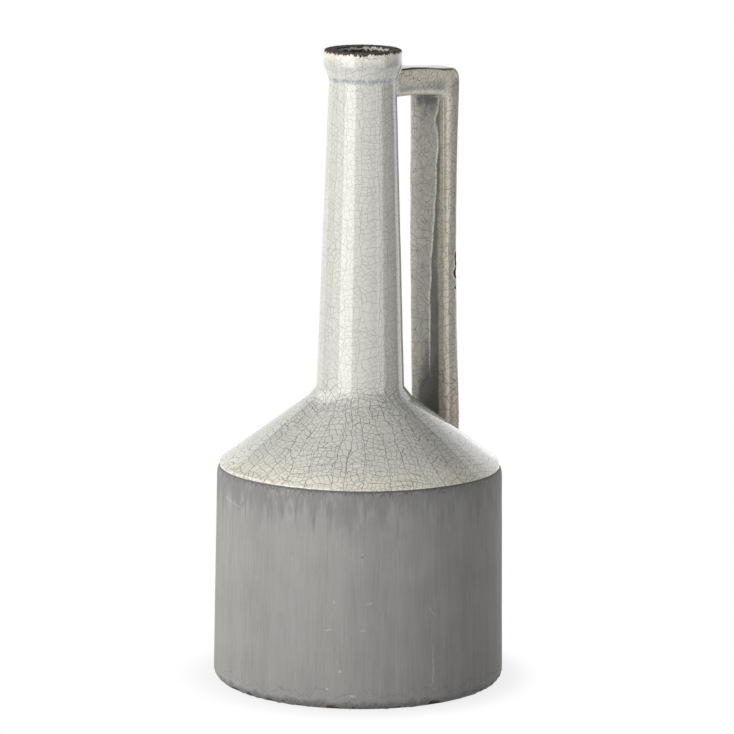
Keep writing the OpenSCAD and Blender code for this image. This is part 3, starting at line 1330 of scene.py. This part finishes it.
    def build(self) -> Piece:
        """Draw the section, lead it along the rails and fit both ends to the glaze.

        Returns:
            The finished handle.
        """
        pairs = self.rails()
        centre, thick, angle = self.spot(pairs[0])
        half_w = self.width / 2 + self.glaze
        section = self.section(thick / 2, half_w)
        count = len(section)
        along = Vector((math.cos(angle), 0, math.sin(angle)))
        ring = [centre + (along * t + Vector((0, w, 0))) * MM for t, w in section]
        piece = Bench.start("handle_glaze", ring[0])
        Bench.ring(ring)
        bpy.ops.mesh.select_all(action="SELECT")
        for pair in pairs[1:]:
            centre, thick, angle = self._lead(centre, thick, angle, pair)
        self._flare_end(centre, thick, half_w, "Z")
        Bench.pick(range(count))
        centre, thick, _ = self.spot(pairs[0])
        self._flare_end(centre, thick, half_w, "X")
        for rings in (len(self.flare), 2 * len(self.flare)):
            Bench.pick(range((len(pairs) + rings - 1) * count, (len(pairs) + rings) * count))
            bpy.ops.mesh.fill_grid(span=count // 4)
        Bench.close()
        for rise, share in ((self.twist, self.near_edge), (-2 * self.twist, self.far_edge)):
            Bench.push(piece, Bench.weigh(piece, share), "Z", rise)
        self._fit_ends(piece, count, len(pairs))
        clear = Bench.weigh(piece, lambda p: smooth_step(26, 34, p.x) * smooth_step(140, 152, p.z))
        Bench.lumps(piece, size=16.0, height=0.5, group=clear)
        Bench.note(piece, "cream", self.cream)
        Bench.note(piece, "painted_reflection", self.painted_reflection)
        return piece

    def near_edge(self, place: Vector) -> float:
        """How much a place takes part in the rise of the arm's front edge."""
        aside = min(1.0, abs(place.y) / (self.width / 2))
        return aside * ((place.y < 0) * (place.z > 300) * smooth_step(57.0, 36.0, place.x))

    def far_edge(self, place: Vector) -> float:
        """How much a place takes part in the drop of the arm's back edge.

        Args:
            place: The place in millimetres.

        Returns:
            The share from 0 to 1.
        """
        aside = min(1.0, abs(place.y) / (self.width / 2))
        out = (place.y > 0) * (0.5 + 0.5 * smooth_step(28.0, 58.0, place.x))
        return aside * (out * smooth_step(313.0, 332.0, place.z))

    def flaws(self) -> list[Pair]:
        """Middles and half sizes of the chips on the strap's outer front edge.

        Returns:
            One pair for each chip, in millimetres.
        """
        turn = math.radians(self.chip_turn)
        r = self.outside_round
        out = []
        for z, reach, wide in self.chips:
            hub = Vector((self.strap(z)[1].x - r, r - self.width / 2 - self.glaze, z))
            middle = hub + Vector((math.sin(turn), -math.cos(turn), 0)) * r
            out.append((middle, Vector((wide, self.chip_depth, reach))))
        return out

    def chip(self, piece: Piece, clay: Material) -> None:
        """Flake the chips off the strap's outer edge, down to the clay.

        Args:
            piece: The handle, with its glaze.
            clay: What shows in the breaks.
        """
        for middle, size in self.flaws():
            bpy.ops.object.select_all(action="DESELECT")
            bpy.ops.mesh.primitive_ico_sphere_add(subdivisions=4, radius=MM, location=(0, 0, 0))
            tool = bpy.context.object
            bpy.ops.object.mode_set(mode="EDIT")
            bpy.ops.mesh.select_all(action="SELECT")
            bpy.ops.transform.resize(value=size, center_override=(0, 0, 0))
            bpy.ops.object.mode_set(mode="OBJECT")
            Bench.lumps(tool, size=1.3, height=0.9, depth=2)
            tool.location = middle * MM
            tool.rotation_euler = (0, 0, math.radians(self.chip_turn))
            tool.data.materials.append(clay)
            cut = piece.modifiers.new("chip", "BOOLEAN")
            cut.operation = "DIFFERENCE"
            cut.solver = "EXACT"
            cut.material_mode = "TRANSFER"
            cut.object = tool
            Bench.apply(piece, cut)
            bpy.data.objects.remove(tool)

    def _lead(
        self, centre: Vector, thick: float, angle: float, pair: Pair
    ) -> tuple[Vector, float, float]:
        """Extrude the selected ring to the next pair of rail points.

        Args:
            centre: Where the ring is.
            thick: Its length between the rails.
            angle: Its angle above the level.
            pair: The next two rail points.

        Returns:
            The new centre, length and angle.
        """
        centre_now, thick_now, angle_now = self.spot(pair)
        bpy.ops.mesh.extrude_edges_move(TRANSFORM_OT_translate={"value": centre_now - centre})
        factor = thick_now / thick
        bpy.ops.transform.resize(value=(factor, 1, factor), center_override=centre_now)
        turn = angle_now - angle
        if abs(turn) > TINY:
            bpy.ops.transform.rotate(value=turn, orient_axis="Y", center_override=centre_now)
        return centre_now, thick_now, angle_now

    def _flare_end(self, centre: Vector, thick: float, half_w: float, axis: str) -> None:
        """Add the flared rings of one end.

        Args:
            centre: Where the end ring is.
            thick: Its length between the rails.
            half_w: Half its width.
            axis: Axis along which the end runs.
        """
        grown = 0.0
        step = Vector((-1, 0, 0)) if axis == "X" else Vector((0, 0, -1))
        for flare in reversed(self.flare):
            bpy.ops.mesh.extrude_edges_move(TRANSFORM_OT_translate={"value": step * MM})
            centre = centre + step * MM
            wide = (half_w + flare) / (half_w + grown)
            tall = (thick / 2 + flare) / (thick / 2 + grown)
            scale = (1, wide, tall) if axis == "X" else (tall, wide, 1)
            bpy.ops.transform.resize(value=scale, center_override=centre)
            grown = flare

    def _fit_ends(self, piece: Piece, count: int, rings: int) -> None:
        """Set the flared rings on the glaze that they run into.

        Args:
            piece: The handle.
            count: Number of points in a ring.
            rings: Number of rings before the flared ones.
        """
        caps = {"x": [], "z": []}
        start = rings * count
        for vertex in piece.data.vertices[start + 2 * len(self.flare) * count:]:
            caps["x" if vertex.co.z > self.halves[0] * MM else "z"].append(vertex.index)
        for axis in ("z", "x"):
            for i, stand in enumerate(reversed(self.stand)):
                indices = list(range(start, start + count))
                start += count
                if i == len(self.stand) - 1:
                    indices += caps[axis]
                name = f"end_{axis}_{i}"
                piece.vertex_groups.new(name=name).add(indices, 1.0, "REPLACE")
                wrap = piece.modifiers.new(name, "SHRINKWRAP")
                wrap.target = self.coat
                wrap.wrap_method = "PROJECT"
                setattr(wrap, f"use_project_{axis}", True)
                wrap.use_negative_direction = True
                wrap.use_positive_direction = False
                wrap.vertex_group = name
                Bench.apply(piece, wrap)
                Bench.push(piece, name, axis.upper(), stand)

    @staticmethod
    def lie(place: Vector, normal: Vector) -> tuple[float, float]:
        """Where a place lies on the handle.

        Args:
            place: The place in millimetres.
            normal: The surface's normal there.

        Returns:
            1 on the arm and 0 on the strap, and the angle from the inner face in degrees.
        """
        on_arm = smooth_step(317.0, 322.0, place.z) * smooth_step(56.0, 50.0, place.x)
        inward = -(normal.x + (normal.z - normal.x) * on_arm)
        return on_arm, math.degrees(math.atan2(abs(normal.y), inward))

    def painted_reflection(self, place: Vector, normal: Vector) -> float:
        """How much painted brown reflection of the neck's shaded side lies on the glaze: only along
        the strap's front inner edge.

        Args:
            place: The place in millimetres.
            normal: The surface's normal there.

        Returns:
            The share from 0 to 1.
        """
        on_arm, aside = self.lie(place, normal)
        low = smooth_step(-7.5, -9.5, place.y) * smooth_step(46, 34, aside)
        high = smooth_step(2, 10, aside) * smooth_step(50, 34, aside)
        stain = low + (high - low) * smooth_step(*self.halves, place.z)
        return 0.5 * stain * (1 - on_arm) * smooth_step(0.0, 3.0, -place.y)

    def edge_light(self, place: Vector, on_arm: float, aside: float, across: float) -> float:
        """How bright the rounded inner edge is, the glaze thinning there under a painted highlight: a
        band, and a ridge beside it on the strap.

        Args:
            place: The place in millimetres.
            on_arm: 1 on the arm and 0 on the strap.
            aside: The angle from the inner face in degrees.
            across: The way out from the strap's inner face.

        Returns:
            The share from 0 to 1.
        """
        low_band = 0.55 * smooth_step(-7.5, -10.0, place.y) * smooth_step(26, 14, aside)
        low_ridge = smooth_step(8, 34, aside) * smooth_step(80, 64, aside)
        high_band = 0.75 * smooth_step(4, 12, aside) * smooth_step(34, 16, aside)
        high_ridge = smooth_step(38, 60, aside) * smooth_step(4.9, 3.2, across)
        high = smooth_step(*self.halves, place.z)
        on_strap = max(low_band, low_ridge) * (1 - high) + max(high_band, high_ridge) * high
        arm_band = smooth_step(6, 40, aside) * smooth_step(80, 60, aside)
        return on_strap + (arm_band - on_strap) * on_arm

    def painted_inner_light(self, place: Vector, on_arm: float) -> Place:
        """Painted shade and reflections on the inner face: how dark it is, and how bright its wavy
        line.

        Args:
            place: The place in millimetres.
            on_arm: 1 on the arm and 0 on the strap.

        Returns:
            The dark share and the bright share, from 0 to 1.
        """
        wave = noise.noise(place * 0.09) * 0.9
        # Painted shade: the neck's shadow and dark reflection on the inner face, up to a wavy border.
        border = 6.6 * smooth_step(318, 190, place.z) + 3.0 * bell(306, 5.0, place.z) - 9.2 + wave
        neck_shade = smooth_step(border + 0.4, border - 0.4, place.y) * (1 - on_arm)
        fade = 0.75 * smooth_step(200.0, 260.0, place.z)
        neck_shade *= 1 - fade * smooth_step(border - 0.4, border - 5.0, place.y)
        # Painted shade: the cone's shadow and reflection darkening the strap's foot.
        foot = smooth_step(38.0, -24.0, place.z - 160.0 + 2.6 * max(place.y, -5.0))
        foot *= 1 - 0.8 * smooth_step(-6.5, -10.5, place.y)
        # Painted reflection: the bright wavy line of the neck's edge along the border.
        gleam = bell(border + 0.3, 0.45, place.y) * (1 - on_arm) * (1 - foot)
        # corner: glaze pooled in the inside corner of arm and strap, deepened as painted shade.
        inside = Vector((self.corner[0], self.arm_end[0]))
        away = (Vector((place.x, place.z)) - inside).length + 5.0 * noise.noise(place * 0.35)
        corner = bell(0.0, 10.0, away) * (0.85 + 0.6 * noise.noise(place * 0.8))
        return max(neck_shade * 0.34, foot * 0.55, corner * 0.36), gleam

    def cream(self, place: Vector, normal: Vector) -> float:
        """How creamy the glaze looks at a place: 0 where it pools and in painted shade, 1 where it
        thins out and in painted highlights.

        Args:
            place: The place in millimetres.
            normal: The surface's normal there.

        Returns:
            The share from 0 to 1, or more on the arm's painted dark reflection line.
        """
        on_arm, aside = self.lie(place, normal)
        across = place.x - self.strap(place.z)[0].x
        front = smooth_step(0.0, 3.0, -place.y)
        inner = smooth_step(46, 10, aside)
        # tan: the glaze thinning on the rounded inner edge, with a painted highlight over it on the
        # front half.
        tan = self.edge_light(place, on_arm, aside, across)
        # dark and gleam: painted shade and reflections on the inner face.
        dark, gleam = self.painted_inner_light(place, on_arm)
        shade = dark * inner * (1 - 0.9 * tan * front)
        # outer: painted reflection, the outer face lighter where it mirrors the bright surroundings
        # behind.
        outer = smooth_step(105, 125, aside) * smooth_step(165, 145, aside)
        # back: the back edge and back half of the inner face lighter, thinning glaze with painted
        # light where the key reaches past the neck.
        back = smooth_step(3.0, 11.0, place.y) * smooth_step(80, 60, aside)
        # low and side: painted light, the side faces lighter, most of all low on the strap.
        low = smooth_step(245.0, 195.0, place.z) * smooth_step(5.6, 7.4, across)
        low *= smooth_step(125.0, 100.0, aside)
        side = smooth_step(60, 85, aside)
        side *= 0.14 + 0.5 * low + 0.25 * smooth_step(185.0, 150.0, place.z)
        # flat and upper: painted light and shade on the arm's side faces, lighter above and darker
        # below.
        flat = smooth_step(0.8, 0.95, abs(normal.y)) * smooth_step(318.0, 323.0, place.z)
        upper = smooth_step(327.5, 332.5, place.z)
        # rim: painted dark reflection line along the arm's top front edge.
        rim = smooth_step(0.5, 0.7, normal.z) * smooth_step(0.25, 0.45, abs(normal.y)) * front
        rim *= 1 - smooth_step(19.0, 15.0, place.x)
        # top: painted highlight on faces that look up.
        top = smooth_step(0.8, 0.95, normal.z)
        neck_r = 18.4 + 2.6 * smooth_step(self.vessel.collar_z, self.vessel.collar_z + 7.0, place.z)
        joint = smooth_step(2.6, 0.9, math.hypot(place.x, place.y) - neck_r)
        cream = 0.36 + side + 0.6 * tan * front + 0.85 * outer + 0.4 * back
        # The gleam paints the bright wavy reflection of the neck's edge.
        cream += 1.1 * gleam * inner * (1 - tan)
        cream += 0.5 * top - shade + flat * (0.9 * upper - 0.16) + 0.5 * joint
        return min(1.15, cream) + 1.4 * rim


# Stage


@dataclass(frozen=True)
class Panel:
    """A soft light that fills a patch of the surroundings, in degrees seen from the ewer."""

    name: str
    side: Place
    rise: Place
    level: float


@dataclass
class Studio:
    """Camera, lights, floor and white surroundings."""

    camera_azimuth: float = -48.0
    camera_range: float = 2564.17
    camera_height: float = 670.24
    aim_height: float = 173.93
    aim_right: float = 3.63
    roll: float = 0.0085
    focal_pixels: float = 4752.0
    sensor: float = 36.0
    clip_end: float = 20.0
    light_range: float = 2000.0
    light_height: float = 150.0
    floor_r: float = 600.0
    floor_sides: int = 128
    floor_sink: float = 0.01
    backdrop: float = 0.9
    ceiling: float = 0.55
    panels: tuple[Panel, ...] = (
        Panel("key", (-60, -22.5), (-15, 14), 4.2),
        Panel("high_left", (-122, -72), (15, 45), 2.3),
        Panel("high_key", (-71, -21), (15, 45), 1.9),
        Panel("strip", (46, 67), (-15, 14), 2.5),
        Panel("fill", (8, 46), (-15, 14), 0.2),
        Panel("rim", (122, 172), (-18, 22), 0.55),
    )

    def heading(self, right_of_camera: float) -> Vector:
        """Level direction at an angle to the right of the camera, seen from the ewer."""
        a = math.radians(self.camera_azimuth + right_of_camera)
        return Vector((math.sin(a), -math.cos(a), 0))

    def camera(self) -> None:
        """Set up the camera at the viewing angle of the picture."""
        eye = self.heading(0) * self.camera_range + Vector((0, 0, self.camera_height))
        aim = self.heading(90) * self.aim_right + Vector((0, 0, self.aim_height))
        back = (eye - aim).normalized()
        right = Vector((0, 0, 1)).cross(back).normalized()
        level = Matrix((right, back.cross(right), back)).transposed()
        turned = Matrix.Rotation(self.roll, 3, back) @ level
        lens = bpy.data.cameras.new("camera")
        lens.sensor_width = self.sensor
        lens.lens = self.focal_pixels * self.sensor / IMAGE_PIXELS
        lens.clip_end = self.clip_end
        camera = bpy.data.objects.new("camera", lens)
        camera.matrix_world = Matrix.Translation(eye * MM) @ turned.to_4x4()
        bpy.context.scene.collection.objects.link(camera)
        bpy.context.scene.camera = camera

    def hang(self, panel: Panel) -> None:
        """Hang one light.

        Args:
            panel: The light, with a level at which 1 is white.
        """
        up = math.radians(sum(panel.rise) / 2)
        away = self.heading(sum(panel.side) / 2) * math.cos(up) + Vector((0, 0, math.sin(up)))
        lamp = bpy.data.lights.new(panel.name, "AREA")
        lamp.shape = "RECTANGLE"
        lamp.size, lamp.size_y = (
            2 * self.light_range * math.tan(math.radians(last - first) / 2) * MM
            for first, last in (panel.side, panel.rise)
        )
        lamp.energy = panel.level * math.pi * lamp.size * lamp.size_y
        light = bpy.data.objects.new(panel.name, lamp)
        light.location = (away * self.light_range + Vector((0, 0, self.light_height))) * MM
        light.rotation_mode = "QUATERNION"
        light.rotation_quaternion = away.to_track_quat("Z", "Y")
        light.visible_camera = False
        bpy.context.scene.collection.objects.link(light)

    def surroundings(self) -> None:
        """Make the world white to the eye, and a studio with a dark ceiling as light."""
        world = bpy.data.worlds.new("surroundings")
        bpy.context.scene.world = world
        world.use_nodes = True
        graph = Graph(world.node_tree)
        way = graph.node("TexCoord", {}, {}, "Generated")
        ahead, aside = (way.dot(self.heading(a)) for a in (0, 90))
        degrees = 180 / math.pi
        side = aside.angle_from(ahead) * degrees
        rise = way.split()[2].arcsine() * degrees
        left = side.fall(-125, -119) * rise.fall(22.5, 25.5)
        behind = left.most(side.rise(119, 125) * rise.fall(31, 36))
        before = side.rise(-95, -85) * side.fall(47, 53) * rise.fall(11, 17)
        backdrop = behind.most(before).most(rise.fall(-20, -14))
        level = (backdrop * self.backdrop).most(rise.rise(46, 54) * self.ceiling)
        seen, mirrored = graph.rays()
        level = level.most(seen).most(mirrored * backdrop)
        surface = graph.node("Background", {}, {"Color": WHITE, "Strength": level})
        graph.node("OutputWorld", {}, {"Surface": surface})

    def floor(self) -> None:
        """Lay the floor, white to the eye apart from the shadow."""
        bpy.ops.object.select_all(action="DESELECT")
        bpy.ops.mesh.primitive_circle_add(
            vertices=self.floor_sides, radius=self.floor_r * MM, fill_type="NGON", location=(0, 0, 0)
        )
        floor = bpy.context.object
        floor.name = "floor"
        bpy.ops.object.mode_set(mode="EDIT")
        bpy.ops.mesh.select_all(action="SELECT")
        bpy.ops.mesh.inset(thickness=0.5 * self.floor_r * MM)
        bpy.ops.transform.translate(value=(0, 0, -self.floor_sink * MM))
        bpy.ops.object.mode_set(mode="OBJECT")
        floor.data.materials.append(FloorWhite().material("floor_white"))

    def build(self) -> None:
        """Set up the whole stage."""
        bpy.context.scene.view_settings.view_transform = "Standard"
        self.camera()
        for panel in self.panels:
            self.hang(panel)
        self.surroundings()
        self.floor()


def dress_clay(names: Iterable[str], finish: Material) -> None:
    """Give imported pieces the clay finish.

    Args:
        names: The pieces' names.
        finish: The clay.
    """
    for name in names:
        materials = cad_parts[name].data.materials
        materials.clear()
        materials.append(finish)
        LOG.info("%s: clay", name)


def main() -> None:
    """Build the stage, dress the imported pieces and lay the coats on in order."""
    logging.basicConfig(level=logging.INFO, format="%(message)s")
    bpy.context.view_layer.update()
    studio = Studio()
    studio.build()
    vessel = Vessel()
    clay = BareClay().material("bare_clay")
    dress_clay(sorted(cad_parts), clay)
    coat = GlazeCoat(vessel, studio.heading(0))
    brushed = BrushedEngobe(coat.line_z, coat.sag, vessel.base_r, coat.front)
    settle(EngobeCoat(vessel).build(), brushed.material("brushed_engobe"))
    wiped = BareClay(
        tone=(0.15, 0.113, 0.097),
        light=(0.40, 0.345, 0.315),
        glaze_r=vessel.mouth_r,
        glaze_z=vessel.lip_z,
    )
    settle(LipClay(vessel).build(), wiped.material("wiped_clay"))
    glaze = coat.build()
    settle(glaze, CrackleGlaze(Layout.TURNED).material("crackle_glaze"))
    grip = GlazedHandle(vessel, glaze)
    handle = grip.build()
    olive = CrackleGlaze(
        Layout.STRAP,
        pale=(0.515, 0.505, 0.45),
        cream=(0.76, 0.71, 0.60),
        # The pool colour is near black, as it also paints the shade on the inner face.
        pool_and_shade=(0.135, 0.13, 0.114),
        crack=(0.09, 0.084, 0.072),
        patch=6.4,
        split=3.2,
        brick=2.6,
        line=0.17,
        neck_lines=0.85,
        flaws=tuple(grip.flaws()),
    )
    settle(handle, olive.material("handle_crackle"))
    grip.chip(handle, clay)
    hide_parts("handle_arm", "handle_strap", "arm_coil", "foot_coil")


if __name__ == "__main__":
    main()
